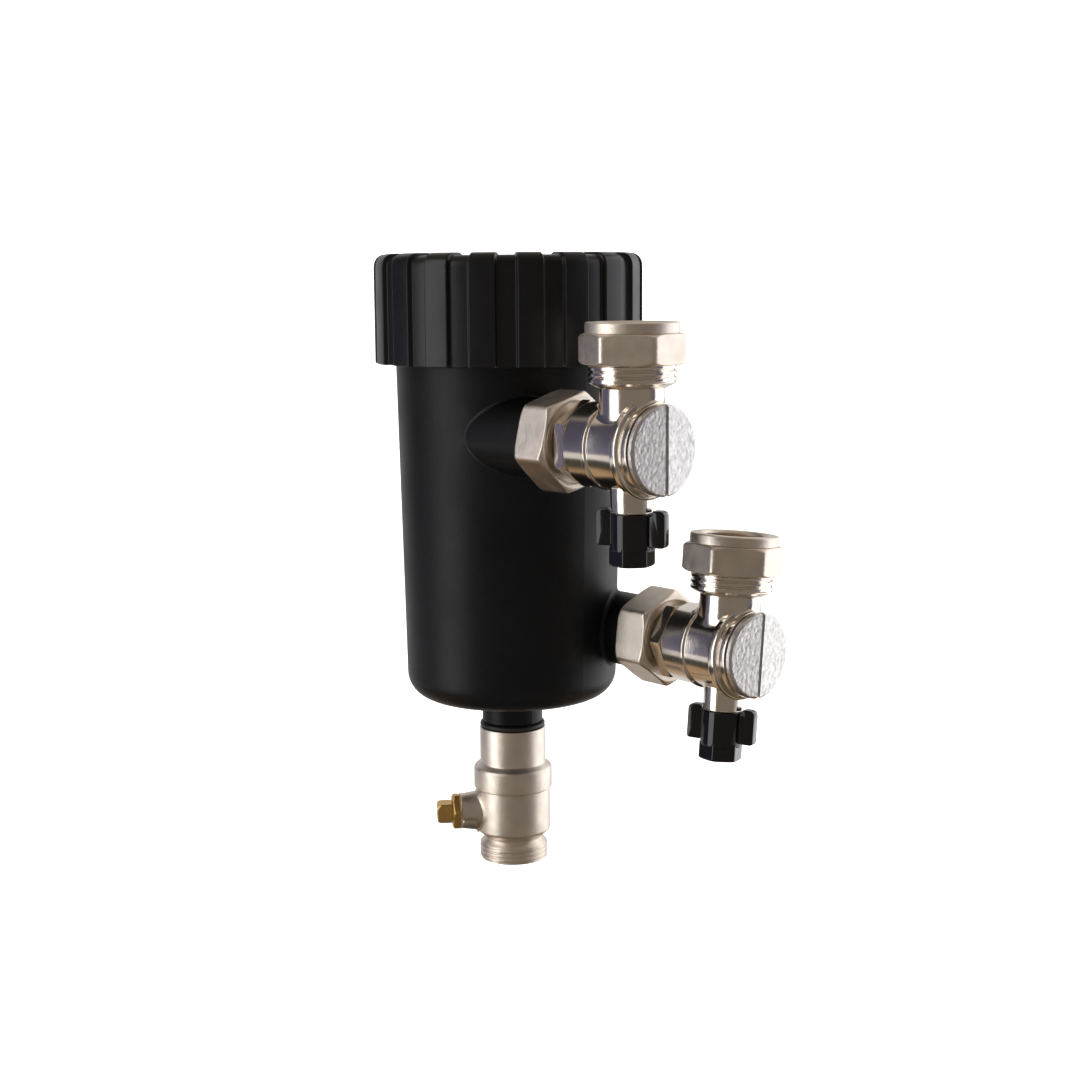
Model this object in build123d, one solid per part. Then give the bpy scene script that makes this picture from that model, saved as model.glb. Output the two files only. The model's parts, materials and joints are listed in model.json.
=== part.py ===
from build123d import *
import math
import os

# Magnetic system filter with two 22 mm isolating valves and a drain valve.
# Millimetres. The origin is the centre of the drain outlet's end face, +Z runs up the
# canister's axis and the two ports point along +X. Threads are drawn as rings, and a
# pair of mating threads as two plain cylinders with a running clearance between them.

RUN = 0.05  # radial running clearance between moving pieces
SEAL_GAP = 0.03  # radial room left around a soft seal

# canister
CANISTER_BOTTOM = 66.3
CANISTER_R_BOTTOM = 40.3
CANISTER_R_TOP = 42.9
CANISTER_NECK_Z = 195.6
CANISTER_NECK_R = 44.8
CANISTER_RIM = 222.0
CANISTER_WALL = 4.0
CANISTER_EDGE = 9.5
HEAD_BORE_R = 39.0
HEAD_BORE_Z = 203.0

# drain collar moulded under the canister
COLLAR_R = 11.7
COLLAR_SHOULDER = 55.1
COLLAR_THREAD_R = 10.48
COLLAR_END = 40.5
COLLAR_BORE_R = 7.0

# ports
PORT_Z = {"upper": 169.9, "lower": 93.7}
PORT_Y = {"upper": -24.06, "lower": 24.06}
PORT_R = 13.8
PORT_ROOT_R = 1.5
PORT_BORE_R = 9.5
PORT_SHOULDER = 49.4
PORT_THREAD_R = 13.17
PORT_END = 57.0

# cap
CAP_BOTTOM = 194.9
CAP_TOP = 234.6
CAP_R = 48.9
CAP_PLATE = 226.2
CAP_DISH = 230.2
CAP_DISH_R = 34.0
RIB_TOP = 235.5
RIB_R = 50.6
RIB_COUNT = 18
RIB_ANGLE = 10.4
RIB_SLOPE = 0.8
RIB_PHASE = 8.3

# pocket head, magnet sleeve and magnet rod
HEAD_BOTTOM = 208.0
HEAD_FLANGE_R = 43.6
HEAD_NECK_R = 28.0
HEAD_NECK_TOP = 232.8
HEAD_SEAL_Z = 214.8
HEAD_SEAL_WIRE = 1.32
GRIP_BORE_R = 16.5
SLEEVE_R = 13.0
SLEEVE_BORE_R = 11.7
SLEEVE_BOTTOM = 84.0
SLEEVE_LEDGE = 226.0
SLEEVE_FLANGE = 1.0
STACK_BOTTOM = 90.0
MAGNET_COUNT = 6
MAGNET_LENGTH = 17.0
MAGNET_R = 11.3
POLE_LENGTH = 2.5
POLE_R = 11.45
CORE_R = 2.5
BLEED_RADIUS = 21.7
BLEED_ANGLE = 200.0
BLEED_R = 3.0

# isolating valve, in its own frame: x along the barrel away from the canister,
# z along the pipe, origin where the two axes cross
VALVE_X = 90.6
VALVE_LEAN = {"upper": 0.0, "lower": 4.85}
BARREL_R = 14.6
BARREL_START = -20.1
BARREL_END = 12.6
CAVITY_R = 11.6
CAVITY_START = -13.0
PLUG_THREAD_START = 9.6
TAIL_THREAD_R = 12.0
PLUG_THREAD_R = 12.75
PLUG_R = 15.3
PLUG_FACE = 16.3
PLUG_BACK = 13.3
PLUG_FALL = 4.0
NECK_R = 11.1
WATERWAY_R = 8.5
SOCKET_FLOOR = 22.6
SOCKET_R = 11.05
MALE_R = 14.8
MALE_START = 22.0
MALE_END = 36.0
MALE_PITCH = 2.3
MALE_RINGS = 6
BALL_R = 10.5
BALL_BORE_R = 7.5
BOSS_R = 7.5
BOSS_END = -21.7
STEM_R = 4.5
STEM_FLANGE_R = 5.8
STEM_SEAL_Z = -18.3
STEM_SQUARE = 6.3
TAIL_FACE = -31.6
TAIL_HEX_START = -24.6
TAIL_HEX_FLATS = 26.0
TAIL_HEX_TURN = {"upper": 30.0, "lower": 0.0}

# union nut and compression nut, both 32 mm across flats
NUT_FLATS = 32.0
UNION_START = -40.9
UNION_END = -26.6
UNION_SHOULDER = -28.95
UNION_TURN = {"upper": 16.0, "lower": 27.9}
NUT_BOTTOM = 27.8
NUT_HEX_TOP = 38.2
NUT_TOP = 41.9
NUT_COLLAR_R = 15.9
NUT_MOUTH_R = 11.45
NUT_TURN = {"upper": 9.5, "lower": 18.2}

# knob, in the valve's frame
KNOB_TURN = 22.0
KNOB_HUB_R = 7.5
KNOB_HUB_TOP = -22.0
KNOB_WING_TOP = -20.8
KNOB_WING_BOTTOM = -33.4
KNOB_WING_REACH = 12.6
KNOB_WING_WIDTH = 4.6
KNOB_END = -40.0
KNOB_HEX_FLATS = 13.8
KNOB_SCREW_SEAT = -36.6

# drain valve
SPINDLE_Z = 19.0
SPINDLE_ANGLE = -124.0
DRAIN_SOCKET_R = 12.8
DRAIN_SOCKET_TOP = 52.9
DRAIN_BODY_R = 14.5
DRAIN_BAND_R = 15.3
DRAIN_WAIST_R = 11.4
DRAIN_THREAD_R = 13.22
DRAIN_PITCH = 1.8
DRAIN_RINGS = 3
DRAIN_CAVITY_R = 10.25
DRAIN_CAVITY_FLOOR = 9.5
DRAIN_BORE_R = 7.5
DRAIN_BALL_R = 9.5
DRAIN_BALL_BORE_R = 6.0
DRAIN_BOSS_R = 7.6
DRAIN_BOSS_END = 21.3
GLAND_R = 5.0
GLAND_START = 16.5
GLAND_FLATS = 13.0
GLAND_END = 24.2
SPINDLE_R = 3.5
SPINDLE_SQUARE = 7.4
SPINDLE_END = 30.0


def turned(*corners):
    """Solid of revolution about Z; a corner is (radius, height) or (radius, height, rounding)."""
    points = [(corner[0], 0, corner[1]) for corner in corners]
    roundings = [corner[2] if len(corner) > 2 else 0 for corner in corners]
    outline = FilletPolyline(*points, radius=roundings, close=True)
    return revolve(make_face(outline), Axis.Z)


def along_x(solid):
    """Turns a solid made along Z so that it runs along +X."""
    return Rot(0, 90, 0) * solid


def ring(outer, inner, low, high):
    return turned((inner, low), (outer, low), (outer, high), (inner, high))


def rod(radius, low, high):
    return turned((0, low), (radius, low), (radius, high), (0, high))


def o_ring(centre_r, wire_r, height):
    return Pos(0, 0, height) * Torus(centre_r, wire_r)


def hexagon(flats, low, high, turn, low_chamfer, high_chamfer):
    """Hexagonal prism with its corners turned off at 30 degrees; turn is a flat's direction."""
    prism = extrude(RegularPolygon(flats / 2, 6, major_radius=False, rotation=turn + 30), high - low)
    corner_r = flats / math.sqrt(3) + 0.01
    slope = math.tan(math.radians(30))
    turned_off = turned(
        (0, low),
        (corner_r - low_chamfer, low),
        (corner_r, low + low_chamfer * slope),
        (corner_r, high - high_chamfer * slope),
        (corner_r - high_chamfer, high),
        (0, high),
    )
    return Pos(0, 0, low) * prism & turned_off


def thread_rings(radius, depth, start, count, pitch):
    """Outline points up a ring-grooved thread that starts and ends on a crest."""
    points = []
    for index in range(count):
        base = start + index * pitch
        points.append((radius, base))
        points.append((radius, base + 0.4 * pitch))
        points.append((radius - depth, base + 0.7 * pitch))
    points.append((radius, start + count * pitch))
    return points


# ---------------------------------------------------------------- canister


def make_canister():
    shell = turned(
        (0, COLLAR_END),
        (COLLAR_THREAD_R - 0.6, COLLAR_END),
        (COLLAR_THREAD_R, COLLAR_END + 0.6),
        (COLLAR_THREAD_R, COLLAR_SHOULDER),
        (COLLAR_R, COLLAR_SHOULDER, 0.4),
        (COLLAR_R, CANISTER_BOTTOM - 1.0, 0.8),
        (28, CANISTER_BOTTOM),
        (CANISTER_R_BOTTOM, CANISTER_BOTTOM, CANISTER_EDGE),
        (CANISTER_R_TOP, CANISTER_NECK_Z),
        (CANISTER_NECK_R, CANISTER_NECK_Z + 0.8),
        (CANISTER_NECK_R, CANISTER_RIM),
        (0, CANISTER_RIM),
    )
    inside = turned(
        (0, CANISTER_BOTTOM + CANISTER_WALL),
        (CANISTER_R_BOTTOM - CANISTER_WALL, CANISTER_BOTTOM + CANISTER_WALL, 6),
        (CANISTER_R_TOP - CANISTER_WALL, HEAD_BORE_Z - 4),
        (HEAD_BORE_R, HEAD_BORE_Z),
        (HEAD_BORE_R, CANISTER_RIM - 1),
        (HEAD_BORE_R + 1, CANISTER_RIM + 0.01),
        (0, CANISTER_RIM + 0.01),
    )
    body = shell
    for side in PORT_Z:
        spigot = turned(
            (0, 15),
            (PORT_R, 15),
            (PORT_R, PORT_SHOULDER, 0.3),
            (PORT_THREAD_R, PORT_SHOULDER),
            (PORT_THREAD_R, PORT_END, 0.4),
            (0, PORT_END),
        )
        body += Pos(0, PORT_Y[side], PORT_Z[side]) * along_x(spigot)
        roots = body.edges().filter_by(GeomType.BSPLINE)
        near = [edge for edge in roots if abs(edge.center().Z - PORT_Z[side]) < PORT_R + 2]
        body = fillet(near, PORT_ROOT_R)
    body -= inside
    for side in PORT_Z:
        bore = rod(PORT_BORE_R, 20, PORT_END + 1)
        body -= Pos(0, PORT_Y[side], PORT_Z[side]) * along_x(bore)
    return body - rod(COLLAR_BORE_R, COLLAR_END - 1, CANISTER_BOTTOM + CANISTER_WALL + 1)


# ---------------------------------------------------------------- cap and head


def make_cap():
    wall = turned(
        (CANISTER_NECK_R + RUN, CAP_BOTTOM),
        (CAP_R, CAP_BOTTOM),
        (CAP_R, CAP_TOP, 4.6),
        (CAP_DISH_R + 1, CAP_TOP, 1.5),
        (CAP_DISH_R, CAP_DISH, 0.8),
        (HEAD_NECK_R + RUN, CAP_DISH),
        (HEAD_NECK_R + RUN, CAP_PLATE),
        (CANISTER_NECK_R + RUN, CAP_PLATE),
    )
    rib_shell = turned(
        (CAP_R - 1.5, CAP_BOTTOM),
        (RIB_R, CAP_BOTTOM),
        (RIB_R, RIB_TOP, 5.4),
        (39, RIB_TOP),
        (37.5, CAP_TOP - 1.5),
        (CAP_R - 1.5, CAP_TOP - 4.5),
    )
    half = math.radians(RIB_ANGLE / 2)
    crest = RIB_R * math.sin(half)
    foot = crest + RIB_SLOPE
    heel = 36 * math.sin(half)
    plan = Polyline(
        (36, -heel),
        (CAP_R, -foot),
        (RIB_R + 0.1, -crest),
        (RIB_R + 0.1, crest),
        (CAP_R, foot),
        (36, heel),
        close=True,
    )
    wedge = Pos(0, 0, CAP_BOTTOM) * extrude(make_face(plan), RIB_TOP - CAP_BOTTOM + 1)
    rib = wedge & rib_shell
    cap = wall
    for index in range(RIB_COUNT):
        cap += Rot(0, 0, RIB_PHASE + index * 360 / RIB_COUNT) * rib
    return cap


def make_pocket_head():
    groove = HEAD_SEAL_WIRE + 0.15
    head = turned(
        (SLEEVE_R + RUN, HEAD_BOTTOM),
        (HEAD_BORE_R - 0.1, HEAD_BOTTOM, 1.0),
        (HEAD_BORE_R - 0.1, HEAD_SEAL_Z - groove),
        (HEAD_BORE_R - 2 * HEAD_SEAL_WIRE - SEAL_GAP, HEAD_SEAL_Z - groove),
        (HEAD_BORE_R - 2 * HEAD_SEAL_WIRE - SEAL_GAP, HEAD_SEAL_Z + groove),
        (HEAD_BORE_R - 0.1, HEAD_SEAL_Z + groove),
        (HEAD_BORE_R - 0.1, CANISTER_RIM),
        (HEAD_FLANGE_R, CANISTER_RIM),
        (HEAD_FLANGE_R, CAP_PLATE - 0.1, 0.4),
        (HEAD_NECK_R, CAP_PLATE - 0.1),
        (HEAD_NECK_R, CAP_DISH + 0.2),
        (HEAD_NECK_R - 1, CAP_DISH + 0.2),
        (HEAD_NECK_R - 1, CAP_DISH + 1.4),
        (HEAD_NECK_R, CAP_DISH + 1.4),
        (HEAD_NECK_R, HEAD_NECK_TOP, 0.5),
        (GRIP_BORE_R, HEAD_NECK_TOP, 0.4),
        (GRIP_BORE_R, SLEEVE_LEDGE),
        (SLEEVE_R + RUN, SLEEVE_LEDGE),
    )
    passage = rod(1.5, HEAD_BOTTOM - 1, HEAD_NECK_TOP) + rod(BLEED_R + RUN, 222.5, HEAD_NECK_TOP + 1)
    passage += rod(5.0, 229.0, HEAD_NECK_TOP + 1)
    return head - at_bleed(passage)


def at_bleed(solid):
    return Rot(0, 0, BLEED_ANGLE) * Pos(BLEED_RADIUS, 0, 0) * solid


def make_head_seal():
    return o_ring(HEAD_BORE_R - HEAD_SEAL_WIRE - SEAL_GAP / 2, HEAD_SEAL_WIRE, HEAD_SEAL_Z)


def make_retaining_ring():
    band = ring(HEAD_NECK_R + 1.9, HEAD_NECK_R - 0.95, CAP_DISH + 0.25, CAP_DISH + 1.35)
    gap = Pos(HEAD_NECK_R, 0, CAP_DISH + 0.8) * Box(10, 7, 4)
    return band - Rot(0, 0, 65) * gap


def make_bleed_screw():
    shank = turned(
        (0, 223.0),
        (1.2, 223.0),
        (BLEED_R, 225.0),
        (BLEED_R, 230.6),
        (4.6, 230.6),
        (4.6, 231.8, 0.4),
        (0, 231.8),
    )
    return at_bleed(shank + Pos(0, 0, 233.1) * Box(5, 5, 2.8))


def make_bleed_seal():
    return at_bleed(o_ring(3.9, 0.75, 229.8))


# ---------------------------------------------------------------- magnet pocket


def make_magnet_sleeve():
    return turned(
        (0, SLEEVE_BOTTOM),
        (SLEEVE_R, SLEEVE_BOTTOM, 2.0),
        (SLEEVE_R, SLEEVE_LEDGE),
        (GRIP_BORE_R - 0.1, SLEEVE_LEDGE),
        (GRIP_BORE_R - 0.1, SLEEVE_LEDGE + SLEEVE_FLANGE),
        (SLEEVE_BORE_R, SLEEVE_LEDGE + SLEEVE_FLANGE),
        (SLEEVE_BORE_R, SLEEVE_BOTTOM + 1.3, 1.2),
        (0, SLEEVE_BOTTOM + 1.3),
    )


def stack_top():
    return STACK_BOTTOM + MAGNET_COUNT * MAGNET_LENGTH + (MAGNET_COUNT + 1) * POLE_LENGTH


def make_magnets():
    pitch = MAGNET_LENGTH + POLE_LENGTH
    rings = []
    for index in range(MAGNET_COUNT):
        low = STACK_BOTTOM + POLE_LENGTH + index * pitch
        rings.append(ring(MAGNET_R, CORE_R + RUN, low, low + MAGNET_LENGTH))
    return Part() + rings


def make_pole_pieces():
    pitch = MAGNET_LENGTH + POLE_LENGTH
    discs = []
    for index in range(MAGNET_COUNT + 1):
        low = STACK_BOTTOM + index * pitch
        discs.append(ring(POLE_R, CORE_R + RUN, low, low + POLE_LENGTH))
    return Part() + discs


def make_magnet_core():
    return rod(CORE_R, STACK_BOTTOM - 4, stack_top() + 10)


def make_magnet_nut():
    return hexagon(8, STACK_BOTTOM - 3.4, STACK_BOTTOM, 0, 0.5, 0.5) - rod(CORE_R, 80, STACK_BOTTOM + 1)


def make_magnet_grip():
    low = stack_top()
    seat = SLEEVE_LEDGE + SLEEVE_FLANGE
    plug = turned(
        (CORE_R, low),
        (SLEEVE_BORE_R - 0.1, low),
        (SLEEVE_BORE_R - 0.1, seat),
        (GRIP_BORE_R - 0.3, seat),
        (GRIP_BORE_R - 0.3, 229.4, 0.8),
        (0, 229.4),
        (0, low + 10),
        (CORE_R, low + 10),
    )
    bar = Pos(0, 0, 231.7) * Box(27, 5.4, 6.4)
    bar = fillet(bar.edges().filter_by(Axis.Z), 2.4)
    bar = fillet(bar.faces().sort_by(Axis.Z)[-1].edges(), 0.9)
    return plug + Rot(0, 0, 35) * bar


# ---------------------------------------------------------------- isolating valve


def make_valve_body():
    barrel = turned(
        (0, BARREL_START),
        (BARREL_R - 1.4, BARREL_START),
        (BARREL_R, BARREL_START + 1.4, 0.5),
        (BARREL_R, -9.8),
        (BARREL_R + 0.9, -9.3, 0.4),
        (BARREL_R + 0.9, -7.9, 0.4),
        (BARREL_R, -7.4),
        (BARREL_R, 4.9, 0.8),
        (17.0, 6.1, 0.8),
        (17.0, 8.9, 0.9),
        (15.0, 9.4, 0.3),
        (15.0, 10.4, 0.3),
        (15.6, 10.7, 0.2),
        (15.6, BARREL_END, 0.3),
        (0, BARREL_END),
    )
    threads = thread_rings(MALE_R, 0.85, MALE_START, MALE_RINGS, MALE_PITCH)
    riser = turned(
        (0, 0),
        (NECK_R, 0),
        (NECK_R, MALE_START - 2.0, 1.0),
        (MALE_R - 1.2, MALE_START - 0.9),
        *threads,
        (MALE_R - 1.2, MALE_END),
        (0, MALE_END),
    )
    boss = rod(BOSS_R, BOSS_END, 0)
    body = along_x(barrel) + riser + boss
    body -= along_x(rod(CAVITY_R, CAVITY_START, PLUG_THREAD_START + 0.5))
    body -= along_x(rod(TAIL_THREAD_R + RUN, BARREL_START - 1, CAVITY_START))
    body -= along_x(rod(PLUG_THREAD_R + RUN, PLUG_THREAD_START, BARREL_END + 1))
    body -= turned(
        (0, 0),
        (WATERWAY_R, 0),
        (WATERWAY_R, SOCKET_FLOOR),
        (SOCKET_R, SOCKET_FLOOR),
        (SOCKET_R, 33.6),
        (12.9, MALE_END),
        (12.9, MALE_END + 1),
        (0, MALE_END + 1),
    )
    body -= rod(STEM_R + RUN, BOSS_END - 1, 0)
    return body - rod(STEM_FLANGE_R + RUN, -13.3, 0)


def make_end_plug():
    plug = turned(
        (0, 11.5),
        (7.0, 11.5),
        (7.0, PLUG_THREAD_START + 0.1),
        (PLUG_THREAD_R, PLUG_THREAD_START + 0.1),
        (PLUG_THREAD_R, PLUG_BACK),
        (PLUG_R, PLUG_BACK),
        (PLUG_R, PLUG_FACE - 0.1, 0.5),
        (0, PLUG_FACE),
    )
    fall = (PLUG_R + 1) * math.tan(math.radians(PLUG_FALL))
    roof = Polyline(
        (PLUG_THREAD_START, -PLUG_R - 1),
        (PLUG_FACE - fall, -PLUG_R - 1),
        (PLUG_FACE, 0),
        (PLUG_FACE - fall, PLUG_R + 1),
        (PLUG_THREAD_START, PLUG_R + 1),
        close=True,
    )
    roof_block = extrude(make_face(roof), PLUG_R + 1, both=True)
    slot = Pos(PLUG_FACE, 0, 0) * Box(2.4, 1.3, 2 * PLUG_R + 2)
    return along_x(plug) & roof_block - slot


def make_plug_washer():
    return along_x(ring(14.9, PLUG_THREAD_R + 0.1, BARREL_END, PLUG_BACK))


def seat_ring(outer_r, bore_r, back, front, ball_r):
    """Ring below a ball centred on the origin, with a 45 degree cone that touches it."""
    reach = (ball_r + RUN) * math.sqrt(2)
    return turned(
        (bore_r, -back),
        (outer_r, -back),
        (outer_r, -front),
        (reach - front, -front),
        (bore_r, bore_r - reach),
    )


def make_seats():
    outer_r = CAVITY_R - 0.05
    left = along_x(seat_ring(outer_r, 8.0, 13.1, 6.0, BALL_R))
    right = Rot(0, -90, 0) * seat_ring(outer_r, 7.0, PLUG_THREAD_START + 0.1, 7.2, BALL_R)
    return left + right


def make_ball():
    """Ball with an angled waterway: one leg up to the pipe, one towards the canister."""
    ball = Sphere(BALL_R) - rod(BALL_BORE_R, 0, BALL_R + 1)
    ball -= along_x(rod(BALL_BORE_R, -BALL_R - 1, 0))
    ball -= Sphere(BALL_BORE_R)
    return ball - Pos(0, 0, -BALL_R) * Box(10, 3.1, 5)


def make_stem():
    groove = 0.75
    shaft = turned(
        (0, -31.5),
        (STEM_R, -31.5, 0.4),
        (STEM_R, STEM_SEAL_Z - groove),
        (STEM_R - 1.2, STEM_SEAL_Z - groove),
        (STEM_R - 1.2, STEM_SEAL_Z + groove),
        (STEM_R, STEM_SEAL_Z + groove),
        (STEM_R, -13.2),
        (STEM_FLANGE_R, -13.2),
        (STEM_FLANGE_R, -11.9),
        (0, -11.9),
    )
    square = Pos(0, 0, -27) * Rot(0, 0, KNOB_TURN) * Box(STEM_SQUARE, STEM_SQUARE, 10)
    round_part = shaft & rod(STEM_FLANGE_R + 1, KNOB_HUB_TOP, 0)
    square = square & shaft
    tongue = Pos(0, 0, -10.1) * Box(9, 3.0, 3.8)
    stem = round_part + square + tongue
    return stem - rod(1.6, -33, -27)


def make_stem_seal():
    return o_ring(STEM_R - 0.58, 0.57, STEM_SEAL_Z)


def make_knob():
    hub = rod(KNOB_HUB_R, KNOB_WING_BOTTOM, KNOB_HUB_TOP)
    wing = Pos(0, 0, (KNOB_WING_TOP + KNOB_WING_BOTTOM) / 2) * Box(
        2 * KNOB_WING_REACH, KNOB_WING_WIDTH, KNOB_WING_TOP - KNOB_WING_BOTTOM
    )
    ends = wing.faces().sort_by(Axis.X)[0].edges() + wing.faces().sort_by(Axis.X)[-1].edges()
    top_ends = ends.filter_by(Axis.Y).sort_by(Axis.Z)[-2:]
    wing = fillet(top_ends, 3.0)
    low_ends = wing.edges().filter_by(Axis.Y).sort_by(Axis.Z)[:2]
    wing = fillet(low_ends, 1.2)
    wing -= rod(BOSS_R + 0.4, KNOB_HUB_TOP, KNOB_WING_TOP + 1)
    stub = hexagon(KNOB_HEX_FLATS, KNOB_END, KNOB_WING_BOTTOM, 0, 0.6, 0.1)
    knob = hub + wing + stub
    knob -= Box(STEM_SQUARE + 0.1, STEM_SQUARE + 0.1, 2 * 31.6)
    knob -= rod(2.1, KNOB_END - 1, -30)
    knob -= rod(4.0, KNOB_END - 1, KNOB_SCREW_SEAT)
    return Rot(0, 0, KNOB_TURN) * knob


def make_knob_screw():
    head = turned(
        (0, -39.0),
        (2.6, -39.0),
        (3.6, -38.2),
        (3.6, KNOB_SCREW_SEAT),
        (0, KNOB_SCREW_SEAT),
    )
    screw = head + rod(1.55, KNOB_SCREW_SEAT, -28)
    cross = Pos(0, 0, -39) * (Box(4.2, 0.9, 2.4) + Box(0.9, 4.2, 2.4))
    return screw - Rot(0, 0, KNOB_TURN + 20) * cross


def make_union_tail(side):
    sleeve = turned(
        (WATERWAY_R, TAIL_FACE),
        (11.9, TAIL_FACE, 0.3),
        (11.9, TAIL_FACE + 2.5),
        (10.3, TAIL_FACE + 2.5),
        (10.3, TAIL_HEX_START),
        (TAIL_THREAD_R, TAIL_HEX_START),
        (TAIL_THREAD_R, CAVITY_START - 0.15),
        (WATERWAY_R, CAVITY_START - 0.15),
    )
    grip = hexagon(TAIL_HEX_FLATS, TAIL_HEX_START, BARREL_START, TAIL_HEX_TURN[side], 0.8, 0.1)
    grip -= rod(11, TAIL_HEX_START - 1, BARREL_START + 1)
    return along_x(sleeve + grip)


def make_union_gasket():
    return along_x(ring(12.4, PORT_BORE_R, PORT_END - VALVE_X, TAIL_FACE))


def make_union_nut(side):
    nut = hexagon(NUT_FLATS, UNION_START, UNION_END, UNION_TURN[side], 1.6, 2.2)
    nut -= turned(
        (0, UNION_START - 1),
        (PORT_THREAD_R + 0.6, UNION_START - 1),
        (PORT_THREAD_R + 0.6, UNION_START + 0.1),
        (PORT_THREAD_R + RUN, UNION_START + 0.65),
        (PORT_THREAD_R + RUN, UNION_SHOULDER),
        (10.4, UNION_SHOULDER),
        (10.4, UNION_SHOULDER + 0.9),
        (14.2, UNION_END),
        (14.2, UNION_END + 1),
        (0, UNION_END + 1),
    )
    return along_x(nut)


def make_compression_nut(side):
    nut = hexagon(NUT_FLATS, NUT_BOTTOM, NUT_HEX_TOP, NUT_TURN[side], 1.9, 1.9)
    nut += turned(
        (0, NUT_HEX_TOP - 2),
        (NUT_COLLAR_R, NUT_HEX_TOP - 2),
        (NUT_COLLAR_R, NUT_TOP, 0.7),
        (0, NUT_TOP),
    )
    return nut - turned(
        (0, NUT_BOTTOM - 1),
        (MALE_R + RUN + 0.5, NUT_BOTTOM - 1),
        (MALE_R + RUN + 0.5, NUT_BOTTOM),
        (MALE_R + RUN, NUT_BOTTOM + 0.5),
        (MALE_R + RUN, 36.4),
        (13.4, 36.8),
        (NUT_MOUTH_R, 39.6),
        (NUT_MOUTH_R, NUT_TOP - 0.8),
        (NUT_MOUTH_R + 0.8, NUT_TOP),
        (NUT_MOUTH_R + 0.8, NUT_TOP + 1),
        (0, NUT_TOP + 1),
    )


def make_olive():
    return turned(
        (SOCKET_R, 34.2),
        (11.35, 34.2),
        (12.6, 36.0),
        (12.6, 37.4),
        (11.35, 39.2),
        (SOCKET_R, 39.2),
    )


def place_valve(side, solid):
    lean = Rot(-VALVE_LEAN[side], 0, 0)
    return Pos(VALVE_X, PORT_Y[side], PORT_Z[side]) * lean * solid


def valve_pieces(side):
    return {
        "valve_body": make_valve_body(),
        "valve_end_plug": make_end_plug(),
        "valve_plug_washer": make_plug_washer(),
        "valve_seats": make_seats(),
        "valve_ball": make_ball(),
        "valve_stem": make_stem(),
        "valve_stem_seal": make_stem_seal(),
        "valve_knob": make_knob(),
        "valve_knob_screw": make_knob_screw(),
        "union_tail": make_union_tail(side),
        "union_gasket": make_union_gasket(),
        "union_nut": make_union_nut(side),
        "compression_nut": make_compression_nut(side),
        "olive": make_olive(),
    }


# ---------------------------------------------------------------- drain valve


def at_spindle(solid):
    """Lays a solid made along Z onto the drain spindle's axis."""
    return Pos(0, 0, SPINDLE_Z) * Rot(0, 0, SPINDLE_ANGLE) * along_x(solid)


def make_drain_body():
    shape = turned(
        (0, 0),
        *thread_rings(DRAIN_THREAD_R, 0.5, 0, DRAIN_RINGS, DRAIN_PITCH),
        (DRAIN_THREAD_R - 0.3, DRAIN_RINGS * DRAIN_PITCH + 0.7),
        (DRAIN_WAIST_R, 7.9, 0.6),
        (DRAIN_WAIST_R, 8.6, 0.6),
        (DRAIN_BODY_R, 11.4, 0.8),
        (DRAIN_BODY_R, 28.3),
        (DRAIN_BAND_R, 28.7, 0.2),
        (DRAIN_BAND_R, 36.9, 1.8),
        (DRAIN_SOCKET_R, 38.6, 0.4),
        (DRAIN_SOCKET_R, DRAIN_SOCKET_TOP, 0.3),
        (0, DRAIN_SOCKET_TOP),
    )
    shape += at_spindle(rod(DRAIN_BOSS_R, 6, DRAIN_BOSS_END))
    lug = Pos(0, 0, 18.1) * Rot(0, 0, 71) * Pos(DRAIN_BOSS_R, 0, 0) * Box(2.2, 2.4, 5.4)
    shape += at_spindle(lug)
    shape -= turned(
        (0, -1),
        (DRAIN_BORE_R, -1),
        (DRAIN_BORE_R, DRAIN_CAVITY_FLOOR),
        (DRAIN_CAVITY_R, DRAIN_CAVITY_FLOOR),
        (DRAIN_CAVITY_R, COLLAR_END - 1),
        (COLLAR_THREAD_R + 0.02, COLLAR_END - 1),
        (COLLAR_THREAD_R + 0.02, DRAIN_SOCKET_TOP - 0.9),
        (COLLAR_THREAD_R + 0.9, DRAIN_SOCKET_TOP),
        (COLLAR_THREAD_R + 0.9, DRAIN_SOCKET_TOP + 1),
        (0, DRAIN_SOCKET_TOP + 1),
    )
    shape -= at_spindle(rod(SPINDLE_R + RUN, 6, DRAIN_BOSS_END + 1))
    shape -= at_spindle(rod(5.0, 6, 12.4))
    return shape - at_spindle(rod(GLAND_R, 15.0, DRAIN_BOSS_END + 1))


def make_drain_ball():
    ball = Sphere(DRAIN_BALL_R) - Rot(90, 0, 0) * Cylinder(DRAIN_BALL_BORE_R, 2 * DRAIN_BALL_R + 2)
    ball -= Pos(DRAIN_BALL_R - 1, 0, 0) * Box(3.2, 8.4, 3.0)
    return Pos(0, 0, SPINDLE_Z) * Rot(0, 0, SPINDLE_ANGLE) * ball


def make_drain_seats():
    back = SPINDLE_Z - DRAIN_CAVITY_FLOOR
    lower = seat_ring(DRAIN_CAVITY_R - 0.05, 6.8, back, 5.6, DRAIN_BALL_R)
    return Pos(0, 0, SPINDLE_Z) * (lower + Rot(180, 0, 0) * lower)


def make_drain_seat_retainer():
    low = 2 * SPINDLE_Z - DRAIN_CAVITY_FLOOR
    body = ring(DRAIN_CAVITY_R - 0.02, 6.8, low, low + 5)
    slot = Pos(0, 0, low + 5) * Box(3, 2 * DRAIN_CAVITY_R, 3)
    return body - slot


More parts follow.
